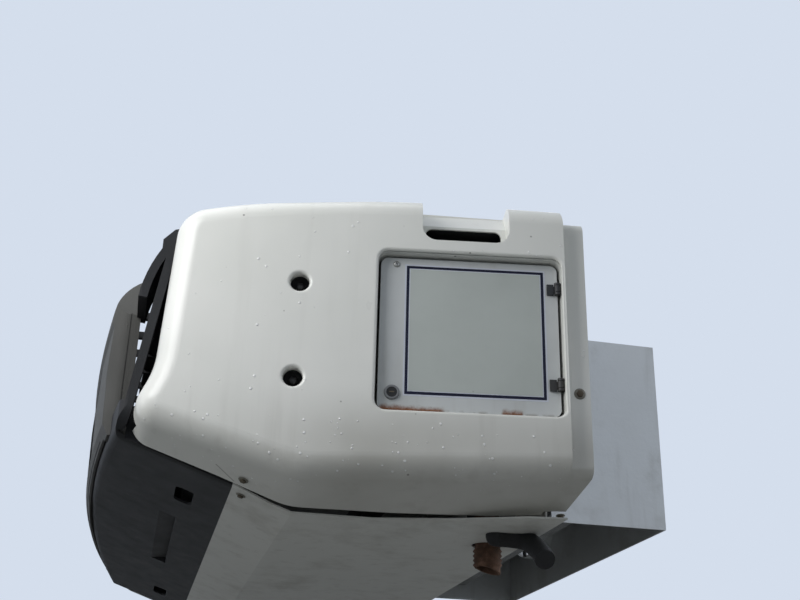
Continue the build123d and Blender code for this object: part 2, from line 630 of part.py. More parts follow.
pipe = pipe - tube_z(EXHAUST["x"], EXHAUST["y"], EXHAUST["end"] - 40, EXHAUST["end"] + 70, EXHAUST["r"] - 4)
tip = [(EXHAUST["y"] - 40, EXHAUST["end"] + 12), (EXHAUST["y"] + 40, EXHAUST["end"] - 12),
       (EXHAUST["y"] + 40, -300.0), (EXHAUST["y"] - 40, -300.0)]
save("exhaust_pipe", pipe - prism_x(tip, EXHAUST["x"] - 40, EXHAUST["x"] + 40))

print("control box")
BOX_N = (-150.0, RECESS_N)
BOX_GROW = 8.0
BOX_T = 3.0
box_s = grown(DOOR_S, BOX_GROW)
box_z = grown(DOOR_Z, BOX_GROW)
case = box(*box_s, *BOX_N, *box_z)
case = case - box(*grown(box_s, -BOX_T), BOX_N[0] + BOX_T, BOX_N[1] + 10, *grown(box_z, -BOX_T))
save("control_box", on_side(case))
GEAR = [{"s": (90.0, 250.0), "deep": 37.0, "z": (60.0, 250.0)},
        {"s": (262.0, 340.0), "deep": 49.0, "z": (120.0, 250.0)},
        {"s": (262.0, 340.0), "deep": 27.0, "z": (40.0, 105.0)}]
blocks = [box(*row["s"], BOX_N[0] + BOX_T, BOX_N[0] + BOX_T + row["deep"], *row["z"]) for row in GEAR]
save("control_gear", on_side(blocks[0] + blocks[1] + blocks[2]))

LOCK = {"s": 343.0, "z": 40.0, "r": 11.0, "proud": 3.0}
DOOR_SKIN = 2.5
door_back = DOOR_N - DOOR_T
door = plate_side(DOOR_S, (door_back, DOOR_N), DOOR_Z, DOOR_R)
door = door - plate_side(grown(DOOR_S, -DOOR_SKIN), (door_back - 5, DOOR_N - DOOR_SKIN),
                         grown(DOOR_Z, -DOOR_SKIN), DOOR_R - DOOR_SKIN)
save("control_door", on_side(door - tube_y(LOCK["s"], LOCK["z"], -60, 20, LOCK["r"])))
seal = plate_side(grown(DOOR_S, -9), (door_back - 3.0, DOOR_N - DOOR_SKIN), grown(DOOR_Z, -9), 8)
seal = seal - plate_side(grown(DOOR_S, -19), (door_back - 10.0, DOOR_N + 5), grown(DOOR_Z, -19), 6)
save("door_seal", on_side(seal - tube_y(LOCK["s"], LOCK["z"], -60, 20, LOCK["r"] + 2)))
save("door_lock", on_side(tube_y(LOCK["s"], LOCK["z"], DOOR_N - 26, DOOR_N + LOCK["proud"], LOCK["r"])))


def hinge_leaf(z):
    """The half that turns with the door: an eye on the pin and a plate on the door's face."""
    height = (z - HINGE["knuckle"], z + HINGE["knuckle"])
    leaf = tube_z(HINGE["s"], HINGE["n"], *height, HINGE["eye_r"])
    leaf = leaf + box(HINGE["s"], HINGE["s"] + 8, DOOR_N + SEAT, DOOR_N + 4, *height)
    leaf = leaf + box(HINGE["s"] + 6.5, HINGE["s"] + 18, DOOR_N + SEAT, DOOR_N + 4, z - 10, z + 10)
    return leaf - tube_z(HINGE["s"], HINGE["n"], z - 20, z + 20, HINGE["pin_r"] + 0.5)


def hinge_lug(z):
    """The half fixed to the recess wall: two lugs and the pin between them."""
    lug = tube_z(HINGE["s"], HINGE["n"], z - HINGE["half"], z + HINGE["half"], HINGE["pin_r"])
    for low, high in ((-HINGE["half"], -HINGE["knuckle"] - 1), (HINGE["knuckle"] + 1, HINGE["half"])):
        lug = lug + tube_z(HINGE["s"], HINGE["n"], z + low, z + high, HINGE["eye_r"])
        lug = lug + box(RECESS_S[0], HINGE["s"], HINGE["n"] - HINGE["eye_r"], HINGE["n"] + 2,
                        z + low, z + high)
    return lug


save("hinge_leaves", on_side(hinge_leaf(HINGE_Z[0]) + hinge_leaf(HINGE_Z[1])))
save("door_hinges", on_side(hinge_lug(HINGE_Z[0]) + hinge_lug(HINGE_Z[1])))

print("evaporator")
EVAP_Y = (WALL_T, 340.0)
EVAP_T = 3.0
EVAP_FAN_X = 240.0
EVAP_FANS = [{"name": "left", "x": EVAP_FAN_X}, {"name": "right", "x": -EVAP_FAN_X}]
EVAP_FAN_R = 120.0
EVAP_FAN_Z = 150.0
EVAP_RING_Y = EVAP_Y[1] - 46.0
ring_r = EVAP_FAN_R + FAN_GAP + RING_T
evap = box(-EVAP_X, EVAP_X, *EVAP_Y, *EVAP_Z)
evap = evap - box(-EVAP_X + EVAP_T, EVAP_X - EVAP_T, EVAP_Y[0] - 5, EVAP_Y[1] - EVAP_T,
                  EVAP_Z[0] - 10, EVAP_Z[1] - EVAP_T)
for row in EVAP_FANS:
    evap = evap + tube_y(row["x"], EVAP_FAN_Z, EVAP_RING_Y, EVAP_Y[1], ring_r)
for row in EVAP_FANS:
    evap = evap - tube_y(row["x"], EVAP_FAN_Z, EVAP_RING_Y - 20, EVAP_Y[1] + 5, ring_r - RING_T)
save("evaporator_housing", evap)
save("evaporator_coil", box(-EVAP_X + EVAP_T, EVAP_X - EVAP_T, 130, 200, -20, EVAP_Z[1] - EVAP_T))
evap_motors = []
fan_y = (EVAP_Y[1] - 40.0, EVAP_Y[1] - 14.0)
for row in EVAP_FANS:
    save("evaporator_fan_" + row["name"], fan(row["x"], EVAP_FAN_Z, *fan_y, EVAP_FAN_R, 34.0, 6, -28.0))
    casing = (208.0, fan_y[0] - 10.0)
    shaft = (fan_y[0] - 14.0, fan_y[0] - SHAFT_GAP)
    evap_motors.append(motor(row["x"], EVAP_FAN_Z, casing, shaft, EVAP_RING_Y, ring_r - 1, 34.0, -1))
save("evaporator_motors", evap_motors[0] + evap_motors[1])
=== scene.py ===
import bpy
import bmesh
import math
from mathutils import Matrix, Vector


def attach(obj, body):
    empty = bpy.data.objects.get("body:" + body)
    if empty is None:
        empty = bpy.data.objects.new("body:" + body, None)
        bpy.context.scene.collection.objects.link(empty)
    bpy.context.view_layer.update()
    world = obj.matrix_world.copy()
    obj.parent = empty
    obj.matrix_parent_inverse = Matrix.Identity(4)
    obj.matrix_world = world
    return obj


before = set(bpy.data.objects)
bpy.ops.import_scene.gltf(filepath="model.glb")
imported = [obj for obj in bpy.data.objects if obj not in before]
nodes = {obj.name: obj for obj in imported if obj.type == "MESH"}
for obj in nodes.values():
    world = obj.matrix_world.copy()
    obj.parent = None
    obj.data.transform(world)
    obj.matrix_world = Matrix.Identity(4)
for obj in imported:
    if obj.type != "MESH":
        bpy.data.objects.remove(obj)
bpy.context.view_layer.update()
print("frame loaded:", len(nodes), "nodes")


def tint(red, green, blue):
    # a display colour of 0 to 255 as a linear one
    steps = [value / 255.0 for value in (red, green, blue)]
    return tuple(s / 12.92 if s <= 0.04045 else ((s + 0.055) / 1.055) ** 2.4
                 for s in steps) + (1.0,)


# Camera and studio
studio = {
    "cameraAt": (2.620, -0.716, -0.722),
    "cameraRight": (0.23077, 0.97275, 0.02248),
    "cameraUp": (0.39043, -0.11373, 0.91358),
    "cameraBack": (0.89124, -0.20205, -0.40604),
    "lens": 50.4,
    "sensor": 36.0,
    "floorHeight": -0.745,
    "floorSize": 14.0,
    "floorTone": tint(218, 220, 222),
    "floorBounce": tint(144, 145, 144),
    "floorGlow": tint(128, 130, 132),
    "floorRough": 0.8,
    "dark": tint(0, 0, 0),
    "background": (0.66, 0.73, 0.84, 1.0),
    "skyLight": (0.86, 0.92, 1.0, 1.0),
    "skyStrength": 0.34,
}
scene = bpy.context.scene
scene.view_settings.view_transform = "Standard"


class Sock:
    # one output of a shader node, so that maths on it reads as Python
    def __init__(self, tree, out=None):
        self.tree = tree
        self.out = out

    def node(self, kind, settings=None, values=None, out=0):
        made = self.tree.nodes.new("ShaderNode" + kind)
        for name, value in (settings or {}).items():
            if name == "stops":
                ramp = made.color_ramp
                while len(ramp.elements) < len(value):
                    ramp.elements.new(0.5)
                for element, stop in zip(ramp.elements, value):
                    element.position = stop[0]
                    element.color = stop[1]
            else:
                setattr(made, name, value)
        for name, value in (values or {}).items():
            if isinstance(value, Sock):
                self.tree.links.new(value.out, made.inputs[name])
            else:
                made.inputs[name].default_value = value
        return Sock(self.tree, made.outputs[out] if len(made.outputs) else None)

    def maths(self, operation, first, second=0.0):
        return self.node("Math", {"operation": operation}, {0: first, 1: second})

    def __add__(self, other):
        return self.maths("ADD", self, other)

    def __radd__(self, other):
        return self.maths("ADD", other, self)

    def __sub__(self, other):
        return self.maths("SUBTRACT", self, other)

    def __mul__(self, other):
        return self.maths("MULTIPLY", self, other)

    def __rmul__(self, other):
        return self.maths("MULTIPLY", other, self)

    def __gt__(self, other):
        return self.maths("GREATER_THAN", self, other)

    def __lt__(self, other):
        return self.maths("LESS_THAN", self, other)


def fade(value, low, high):
    # 0 at low, 1 at high, eased between
    return value.node("MapRange", {"interpolation_type": "SMOOTHSTEP"}, {0: value, 1: low, 2: high})


def mixColors(factor, first, second):
    return factor.node("Mix", {"data_type": "RGBA"}, {0: factor, 6: first, 7: second}, 2)


def axisOf(place, axis):
    return place.node("SeparateXYZ", {}, {0: place}, axis)


def along(place, direction, offset=0.0):
    dot = place.node("VectorMath", {"operation": "DOT_PRODUCT"}, {0: place, 1: direction}, 1)
    return dot + offset


def stretched(place, factors):
    return place.node("VectorMath", {"operation": "MULTIPLY"}, {0: place, 1: factors})


def noise(place, scale, detail=3.0, rough=0.55):
    return place.node("TexNoise", {}, {"Vector": place, "Scale": scale, "Detail": detail,
                                       "Roughness": rough})


def cells(place, scale, out=0):
    return place.node("TexVoronoi", {}, {"Vector": place, "Scale": scale}, out)


def dots(place, scale, share, radius):
    # round dots in a random share of the cells
    near = cells(place, scale)
    luck = axisOf(cells(place, scale, 1), 0)
    return fade(near, radius, radius * 0.6) * (luck < share)


def newMaterial(name):
    made = bpy.data.materials.new(name)
    made.use_nodes = True
    made.node_tree.nodes.clear()
    root = Sock(made.node_tree)
    return made, root, root.node("TexCoord", out=3)


def dress(root, values, height=None, distance=0.001):
    # the shader with its values, and a bump of the height over the distance in metres
    values = dict(values)
    if height is not None:
        values["Normal"] = root.node("Bump", {}, {"Strength": 1.0, "Distance": distance,
                                                  "Height": height})
    shader = root.node("BsdfPrincipled", {}, values)
    root.node("OutputMaterial", {}, {"Surface": shader})


cameraData = bpy.data.cameras.new("photoCamera")
cameraData.lens = studio["lens"]
cameraData.sensor_width = studio["sensor"]
camera = bpy.data.objects.new("photoCamera", cameraData)
turned = Matrix((studio["cameraRight"], studio["cameraUp"], studio["cameraBack"])).transposed()
camera.matrix_world = Matrix.Translation(studio["cameraAt"]) @ turned.to_4x4()
scene.collection.objects.link(camera)
scene.camera = camera

# The sky's glow lights the unit; the camera, reflections and glass see the backdrop
world = bpy.data.worlds.new("studioWorld")
world.use_nodes = True
world.node_tree.nodes.clear()
scene.world = world
sky = Sock(world.node_tree)
seen = sky.node("LightPath", out=0) + sky.node("LightPath", out=3) + sky.node("LightPath", out=6)
skyGlow = sky.node("Background", {}, {"Color": studio["skyLight"], "Strength": studio["skyStrength"]})
backdrop = sky.node("Background", {}, {"Color": studio["background"], "Strength": 1.0})
skyMix = sky.node("MixShader", {}, {0: seen > 0.5, 1: skyGlow, 2: backdrop})
sky.node("OutputWorld", {}, {"Surface": skyMix})

# The floor looks pale to the camera, and throws less light back up than it shows
floorMaterial, root, place = newMaterial("studioFloor")
fromCamera = root.node("LightPath", out=0)
dress(root, {"Base Color": mixColors(fromCamera, studio["floorBounce"], studio["floorTone"]),
             "Roughness": studio["floorRough"],
             "Emission Color": mixColors(fromCamera, studio["dark"], studio["floorGlow"]),
             "Emission Strength": 1.0})
bm = bmesh.new()
bmesh.ops.create_grid(bm, x_segments=1, y_segments=1, size=studio["floorSize"] / 2)
bmesh.ops.translate(bm, verts=bm.verts, vec=(0.0, 0.0, studio["floorHeight"]))
floorMesh = bpy.data.meshes.new("studioFloor")
bm.to_mesh(floorMesh)
bm.free()
floorMesh.materials.append(floorMaterial)
floor = bpy.data.objects.new("studioFloor", floorMesh)
scene.collection.objects.link(floor)

lamps = [  # name, place, aim, width, watts
    ("skyPanel", (0.6, -1.6, 3.8), (0.2, -0.4, 0.0), 3.2, 36.0),
    ("frontPanel", (0.9, -5.0, 1.2), (0.6, -0.6, 0.1), 2.4, 32.0),
    ("nosePanel", (1.37, -1.35, 0.55), (0.86, -0.6, 0.05), 0.7, 9.4),
    ("backPanel", (-3.6, 2.2, 2.6), (0.0, 0.2, 0.0), 3.0, 44.0),
    ("wallPanel", (1.2, 4.2, 1.4), (0.0, 0.2, 0.0), 2.6, 44.0),
]
for name, at, aim, width, watts in lamps:
    lampData = bpy.data.lights.new(name, "AREA")
    lampData.size = width
    lampData.energy = watts
    lamp = bpy.data.objects.new(name, lampData)
    lamp.location = at
    lamp.rotation_euler = (Vector(aim) - Vector(at)).to_track_quat("-Z", "Y").to_euler()
    scene.collection.objects.link(lamp)
print("camera, floor and lamps set")

# Side frame: forward along the left side, outward, up
side = {"half": 0.970, "taper": 9.2, "footHeight": -0.145}
taper = math.radians(side["taper"])
forward = (-math.sin(taper), -math.cos(taper), 0.0)
outward = (math.cos(taper), -math.sin(taper), 0.0)
forwardOffset = side["half"] * math.sin(taper)
sideFrame = Matrix.Translation((side["half"], 0.0, side["footHeight"])) @ Matrix.Rotation(
    -(math.pi / 2 + taper), 4, "Z")

# Directions out of the surfaces below
underOut = (0.19, -0.32, -0.93)
bellyOut = (0.0, -0.33, -0.94)
cornerOut = (0.2, 0.0, -1.0)

# Materials
white = {
    "clean": tint(229, 229, 224),
    "aged": tint(219, 220, 214),
    "grime": tint(150, 148, 140),
    # the under colour is painted shade mixed with grime, laid on the lower and rear flank
    "under": tint(171, 169, 161),
    "speckAndCreaseShade": tint(96, 92, 84),
    "dropGlint": tint(250, 250, 250),
    "gloss": 0.24,
    "coat": 0.15,
    "patches": 2.2,
    "streaks": (9.0, 9.0, 0.7),
    "shadeAndGrimeHigh": -0.09,
    "shadeAndGrimeLow": -0.20,
    "shadeAndGrimeFront": -0.66,
    "shadeAndGrimeRear": -0.36,
    "dropLow": -0.262,
    "dropHigh": -0.145,
    "dropEdge": 0.03,
    "dropSizes": ((82.0, 0.03, 0.26), (130.0, 0.02, 0.10)),  # scale, share, more in the band
    "dropRadius": 0.22,
    "relief": 0.0009,
}
# A crease on the left cover's underside, from the chin to the bolt, drawn as a dark line of painted
# shade
crease = {"from": (0.8019, -0.6078, -0.2270), "to": (0.7713, -0.5734, -0.2455), "width": 0.0019,
          "above": -0.21, "below": -0.215, "depth": 0.6}


def creaseLine(place):
    start = Vector(crease["from"])
    run = Vector(crease["to"]) - start
    across = run.cross(Vector(underOut).normalized()).normalized()
    length = run.length
    run.normalize()
    offset = along(place, tuple(across), -across.dot(start))
    reach = along(place, tuple(run), -run.dot(start))
    line = fade(offset.maths("ABSOLUTE", offset), crease["width"], crease["width"] * 0.3)
    under = fade(axisOf(place, 2), crease["above"], crease["below"])
    return line * (reach > 0.0) * (reach < length) * under


def whiteMoulding(name):
    made, root, place = newMaterial(name)
    patches = fade(noise(place, white["patches"], 4.0), 0.35, 0.7)
    base = mixColors(patches, white["clean"], white["aged"])
    streaks = fade(noise(stretched(place, white["streaks"]), 3.0, 4.0), 0.52, 0.78)
    height = axisOf(place, 2)
    low = fade(height, white["shadeAndGrimeHigh"], white["shadeAndGrimeLow"])
    base = mixColors(streaks * (0.08 + 0.16 * low), base, white["grime"])
    # painted shade mixed with grime: the flank darkens towards the bottom and towards the rear
    rearward = fade(axisOf(place, 1), white["shadeAndGrimeFront"], white["shadeAndGrimeRear"])
    dirt = low * (0.5 + 0.35 * patches) * (0.2 + 0.8 * rearward)
    base = mixColors(dirt, base, white["under"])
    base = mixColors(dots(place, 62.0, 0.02, 0.16) * 0.7, base, white["speckAndCreaseShade"])
    band = fade(height, white["dropLow"], white["dropLow"] + white["dropEdge"])
    band = band * fade(height, white["dropHigh"], white["dropHigh"] - white["dropEdge"])
    large, small = [dots(place, scale, share + more * band, white["dropRadius"])
                    for scale, share, more in white["dropSizes"]]
    drops = large + small
    # painted highlights: the water drops are whitened as glints
    base = mixColors(drops * 0.75, base, white["dropGlint"])
    # the crease's dark line is painted shade
    base = mixColors(creaseLine(place) * crease["depth"], base, white["speckAndCreaseShade"])
    rough = white["gloss"] + 0.12 * noise(place, 14.0) + 0.10 * streaks - 0.15 * drops
    dress(root, {"Base Color": base, "Roughness": rough, "Coat Weight": white["coat"]},
          drops + 0.015 * noise(place, 160.0), white["relief"])
    return made


black = {
    "deep": tint(16, 17, 20),
    "faded": tint(27, 28, 30),
    "bleached": tint(110, 109, 103),
    "dust": tint(84, 82, 76),
    "rough": 0.52,
    "sheen": 0.35,
    "grain": 620.0,
    "relief": 0.0005,
}


def blackMoulding(name, lift=0.0):
    # grained black plastic, bleached in clouds by the lift
    made, root, place = newMaterial(name)
    patches = fade(noise(place, 5.0, 5.0), 0.3, 0.75)
    base = mixColors(patches, black["deep"], black["faded"])
    base = mixColors(noise(place, 2.0) * lift, base, black["bleached"])
    dust = dots(place, 60.0, 0.10, 0.14)
    base = mixColors(dust * 0.4, base, black["dust"])
    rough = black["rough"] + 0.2 * noise(place, 22.0) - 0.2 * dust
    dress(root, {"Base Color": base, "Roughness": rough, "Specular IOR Level": black["sheen"]},
          noise(place, black["grain"], 2.0) + 0.8 * dust, black["relief"])
    return made


paint = {"stains": 6.0, "stainDepth": 0.5, "runs": (16.0, 16.0, 1.5), "runDepth": 0.3, "relief": 0.0004}


def paintedMetal(name, clean, dirt, rough, metallic=0.0):
    made, root, place = newMaterial(name)
    stains = fade(noise(place, paint["stains"], 6.0, 0.65), 0.48, 0.75)
    base = mixColors(stains * paint["stainDepth"], clean, dirt)
    runs = fade(noise(stretched(place, paint["runs"]), 2.0), 0.55, 0.8)
    base = mixColors(runs * paint["runDepth"], base, dirt)
    dress(root, {"Base Color": base, "Roughness": rough + 0.18 * noise(place, 24.0),
                 "Metallic": metallic}, noise(place, 90.0), paint["relief"])
    return made


rusty = {
    "stops": [(0.25, tint(48, 38, 32)), (0.5, tint(96, 70, 54)),
              (0.7, tint(134, 104, 86)), (0.9, tint(124, 114, 104))],
    "flakes": 45.0,
    "rough": 0.75,
    "metallic": 0.2,
    "relief": 0.0015,
}


def rustyMetal(name):
    made, root, place = newMaterial(name)
    flakes = noise(place, rusty["flakes"], 6.0, 0.7)
    base = root.node("ValToRGB", {"stops": rusty["stops"]}, {0: flakes})
    dress(root, {"Base Color": base, "Roughness": rusty["rough"] + 0.15 * noise(place, 30.0),
                 "Metallic": rusty["metallic"]}, flakes, rusty["relief"])
    return made


fins = {"pitch": 0.0026, "gapShade": tint(40, 41, 42), "dirt": tint(78, 72, 64), "rough": 0.45,
        "metallic": 0.6, "relief": 0.0015}


def finnedCoil(name, colour):
    # upright fins: the wave texture repeats every pi / 10 m at scale 1; the dark bands between the fins
    # are painted shade
    made, root, place = newMaterial(name)
    waves = root.node("TexWave", {"wave_type": "BANDS", "bands_direction": "X"},
                      {"Vector": place, "Scale": math.pi / (10.0 * fins["pitch"]),
                       "Distortion": 0.4, "Detail": 1.0}, 1)
    base = mixColors(waves, fins["gapShade"], colour)
    base = mixColors(fade(noise(place, 9.0, 5.0), 0.5, 0.8) * 0.6, base, fins["dirt"])
    dress(root, {"Base Color": base, "Roughness": fins["rough"] + 0.2 * noise(place, 40.0),
                 "Metallic": fins["metallic"]}, waves, fins["relief"])
    return made


def rubber(name):
    made, root, place = newMaterial(name)
    base = mixColors(noise(place, 30.0), tint(20, 20, 21), tint(36, 36, 36))
    dress(root, {"Base Color": base, "Roughness": 0.7 + 0.15 * noise(place, 50.0)},
          noise(place, 300.0), 0.0003)
    return made


# Along the side, each run of the door's rust rises over its first two places and falls over
# its last two
door = {
    "paint": tint(200, 203, 203),
    "shade": tint(184, 187, 186),
    "runs": tint(150, 146, 136),
    "edge": tint(96, 78, 56),
    "rustDark": tint(68, 38, 20),
    "rustLight": tint(150, 88, 42),
    "foot": 0.009,
    "rustNearFront": (0.245, 0.275, 0.350, 0.372),
    "rustNearRear": (0.118, 0.130, 0.150, 0.162),
    "rough": 0.34,
    "relief": 0.0006,
}


def doorPaint(name):
    made, root, place = newMaterial(name)
    base = mixColors(fade(noise(place, 4.0, 5.0), 0.35, 0.75), door["paint"], door["shade"])
    runs = fade(noise(stretched(place, (20.0, 20.0, 1.5)), 2.0), 0.5, 0.8)
    base = mixColors(runs * 0.25, base, door["runs"])
    s = along(place, forward, forwardOffset)
    z = axisOf(place, 2) - side["footHeight"]
    ragged = z + 0.016 * noise(place, 60.0, 5.0, 0.7)
    foot = fade(ragged, door["foot"] + 0.020, door["foot"] + 0.008)
    nearFront, nearRear = [fade(s, start, full) * fade(s, end, waning) for start, full, waning, end
                           in (door["rustNearFront"], door["rustNearRear"])]
    rustSpots = foot * fade(nearFront + nearRear, 0.1, 0.6)
    rustColour = mixColors(noise(place, 240.0, 4.0), door["rustDark"], door["rustLight"])
    edge = fade(z, door["foot"] + 0.006, door["foot"]) * fade(noise(place, 70.0, 4.0), 0.4, 0.6)
    base = mixColors(edge * 0.55, base, door["edge"])
    base = mixColors(rustSpots, base, rustColour)
    rough = door["rough"] + 0.14 * noise(place, 20.0) + 0.35 * rustSpots
    dress(root, {"Base Color": base, "Roughness": rough},
          0.2 * noise(place, 120.0) + rustSpots * noise(place, 400.0), door["relief"])
    return made


film = {"dust": tint(96, 94, 88), "rough": 0.42, "sheen": 0.25, "relief": 0.0001}


def labelFilm(name, colour, shade):
    made, root, place = newMaterial(name)
    base = mixColors(fade(noise(place, 8.0, 4.0), 0.3, 0.75), colour, shade)
    base = mixColors(dots(place, 60.0, 0.02, 0.12) * 0.3, base, film["dust"])
    dress(root, {"Base Color": base, "Roughness": film["rough"] + 0.1 * noise(place, 30.0),
                 "Specular IOR Level": film["sheen"]}, noise(place, 200.0), film["relief"])
    return made


moulding = whiteMoulding("whiteMoulding")
grille = blackMoulding("blackGrille")
shieldSkin = blackMoulding("fadedShield", 0.75)
steelFrame = paintedMetal("frameCoat", tint(96, 98, 98), tint(64, 58, 50), 0.5)
panelWhite = paintedMetal("bulkheadPanel", tint(206, 207, 203), tint(140, 136, 126), 0.4)
sheetGrey = paintedMetal("bellySheet", tint(205, 205, 199), tint(150, 146, 136), 0.42)
coilFins = finnedCoil("coilFins", tint(176, 178, 178))
radiatorFins = finnedCoil("radiatorFins", tint(70, 72, 74))
blackPaint = paintedMetal("blackPaint", tint(26, 27, 28), tint(54, 50, 45), 0.45)
castGrey = paintedMetal("castMetal", tint(122, 123, 121), tint(76, 70, 62), 0.6, 0.4)
rust = rustyMetal("rustySteel")
darkPlastic = paintedMetal("gearMoulding", tint(40, 42, 44), tint(70, 68, 64), 0.5)
doorCoat = doorPaint("doorCoat")
seal = rubber("sealRubber")
brightMetal = paintedMetal("brightSteel", tint(168, 168, 164), tint(104, 96, 84), 0.35, 0.9)
housingAlloy = paintedMetal("housingAlloy", tint(190, 192, 192), tint(140, 138, 132), 0.4, 0.7)
labelGrey = labelFilm("labelGrey", tint(186, 192, 188), tint(178, 184, 180))
labelEdgeGlint = labelFilm("labelEdgeGlint", tint(206, 210, 222), tint(198, 202, 212))
labelBlue = labelFilm("labelBlue", tint(6, 9, 34), tint(10, 13, 42))
zincGrey = paintedMetal("zincGrey", tint(132, 130, 120), tint(80, 70, 56), 0.42, 0.6)
lockGrey = paintedMetal("lockGrey", tint(118, 120, 122), tint(84, 82, 78), 0.5)
agedBolt = paintedMetal("agedBolt", tint(96, 88, 74), tint(58, 42, 30), 0.55, 0.5)
# painted shade for the insides of holes, slots and wells
holeShade = rubber("holeShade")

finishes = {
    "left_cover": moulding, "right_cover": moulding, "top_cover": moulding,
    "outlet_grilles": grille, "grille_frame": grille, "front_shield": shieldSkin,
    # painted shade: the base frame is black so the gap between the covers and the belly reads dark
    "mounting_frame": steelFrame, "bulkhead": panelWhite, "base_frame": blackPaint,
    "belly_pan": sheetGrey, "condenser_coil": coilFins, "radiator": radiatorFins,
    "fan_shroud": steelFrame, "condenser_fan_left": grille, "condenser_fan_right": grille,
    "fan_motors": blackPaint, "engine_block": blackPaint, "compressor": castGrey,
    "standby_motor": castGrey, "muffler": rust, "receiver_tank": blackPaint,
    "exhaust_pipe": rust, "control_box": sheetGrey, "control_gear": darkPlastic,
    "control_door": doorCoat, "door_seal": seal, "door_lock": brightMetal,
    "door_hinges": blackPaint, "hinge_leaves": blackPaint, "evaporator_housing": housingAlloy,
    "evaporator_coil": coilFins, "evaporator_fan_left": grille, "evaporator_fan_right": grille,
    "evaporator_motors": blackPaint,
}
for name, material in finishes.items():
    mesh = nodes[name].data
    mesh.materials.clear()
    mesh.materials.append(material)
print("materials on every node")


def newPiece(name, bm, materials, body):
    mesh = bpy.data.meshes.new(name)
    bmesh.ops.recalc_face_normals(bm, faces=bm.faces)
    bm.to_mesh(mesh)
    bm.free()
    for material in materials:
        mesh.materials.append(material)
    piece = bpy.data.objects.new(name, mesh)
    scene.collection.objects.link(piece)
    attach(piece, body)


def onSide(s, n, z):
    # a place on the left side whose own Z points outward
    return sideFrame @ Matrix.Translation((s, n, z)) @ Matrix.Rotation(-math.pi / 2, 4, "X")


def onRight(matrix):
    # the same place on the right side
    return Matrix.Scale(-1.0, 4, (1.0, 0.0, 0.0)) @ matrix


def facing(at, direction):
    # a place whose own Z points along the direction
    return Matrix.Translation(at) @ Vector(direction).to_track_quat("Z", "Y").to_matrix().to_4x4()


mergeDistance = 0.000002


def pointsBeyond(bm, old):
    return list({v for f in bm.faces if f not in old for v in f.verts})


def lathe(bm, rows, matrix, steps=28, index=0):
    # a turned form from rows of radius and height; the first and last radius may be zero
    made = [bm.verts.new((radius, 0.0, height)) for radius, height in rows]
    edges = [bm.edges.new(pair) for pair in zip(made[:-1], made[1:])]
    old = set(bm.faces)
    bmesh.ops.spin(bm, geom=made + edges, cent=(0.0, 0.0, 0.0), axis=(0.0, 0.0, 1.0),
                   dvec=(0.0, 0.0, 0.0), angle=2 * math.pi, steps=steps, use_merge=True)
    bmesh.ops.remove_doubles(bm, verts=pointsBeyond(bm, old), dist=mergeDistance)
    bmesh.ops.transform(bm, matrix=matrix, verts=pointsBeyond(bm, old))
    for f in bm.faces:
        if f not in old:
            f.material_index = index
            f.smooth = True


def block(bm, low, high, matrix, index=0):
    made = bmesh.ops.create_cube(bm, size=1.0)["verts"]
    size = [b - a for a, b in zip(low, high)]
    middle = [(a + b) / 2 for a, b in zip(low, high)]
    bmesh.ops.scale(bm, vec=size, verts=made)
    bmesh.ops.translate(bm, vec=middle, verts=made)
    bmesh.ops.transform(bm, matrix=matrix, verts=made)
    for f in {f for v in made for f in v.link_faces}:
        f.material_index = index


def between(p0, p1, p2, p3, t):
    # the point at share t from p1 to p2 of a smooth curve through all four
    return 0.5 * (2 * p1 + (p2 - p0) * t + (2 * p0 - 5 * p1 + 4 * p2 - p3) * t * t
                  + (3 * p1 - p0 - 3 * p2 + p3) * t * t * t)


def hose(bm, points, radius, sides=18, turns=6):
    # a round hose through the points, its bends eased, its ends closed
    last = len(points) - 1
    path = []
    for k in range(last):
        near = [Vector(points[min(max(k + j, 0), last)]) for j in (-1, 0, 1, 2)]
        path += [between(*near, m / turns) for m in range(turns)]
    path.append(Vector(points[last]))
    angles = [2 * math.pi * j / sides for j in range(sides)]
    rings = []
    for k, at in enumerate(path):
        heading = (path[min(k + 1, len(path) - 1)] - path[max(k - 1, 0)]).normalized()
        place = facing(at, heading)
        rings.append([bm.verts.new(place @ Vector((radius * math.cos(a), radius * math.sin(a), 0.0)))
                      for a in angles])
    bm.faces.new(rings[0])
    bm.faces.new(rings[-1])
    for one, two in zip(rings[:-1], rings[1:]):
        for j in range(sides):
            after = (j + 1) % sides
            bm.faces.new((one[j], one[after], two[after], two[j])).smooth = True


def band(bm, front, rear, low, high):
    # a closed band between two lines seen from above, between two heights
    rings = []
    for (x, near), (_, far) in zip(front, rear):
        rings.append([bm.verts.new(point) for point in
                      ((x, near, low), (x, far, low), (x, far, high), (x, near, high))])
    bm.faces.new(rings[0])
    bm.faces.new(rings[-1])
    for one, two in zip(rings[:-1], rings[1:]):
        for k in range(4):
            after = (k + 1) % 4
            bm.faces.new((one[k], one[after], two[after], two[k]))


# Label on the control door, bare inside its border: nested plates, each a film's thickness
# higher than the one around it
doorFace = -0.0220
label = {"front": 0.3220, "rear": 0.0815, "low": 0.0380, "high": 0.2750, "border": 0.0050,
         "margin": 0.0028, "film": 0.0002, "sunk": 0.0001}


def makeLabel():
    bm = bmesh.new()
    margin = label["margin"]
    border = label["border"]
    # the pale sheets on both sides of the blue border are painted glints
    sheets = [(-margin, 0), (0.0, 1), (border, 0), (border + margin * 0.5, 2)]  # inset, material
    for k, (inset, index) in enumerate(sheets):
        low = (label["rear"] + inset, doorFace - label["sunk"], label["low"] + inset)
        high = (label["front"] - inset, doorFace + label["film"] * (k + 1), label["high"] - inset)
        block(bm, low, high, sideFrame, index)
    newPiece("doorLabel", bm, [labelEdgeGlint, labelBlue, labelGrey], "control_door")


makeLabel()

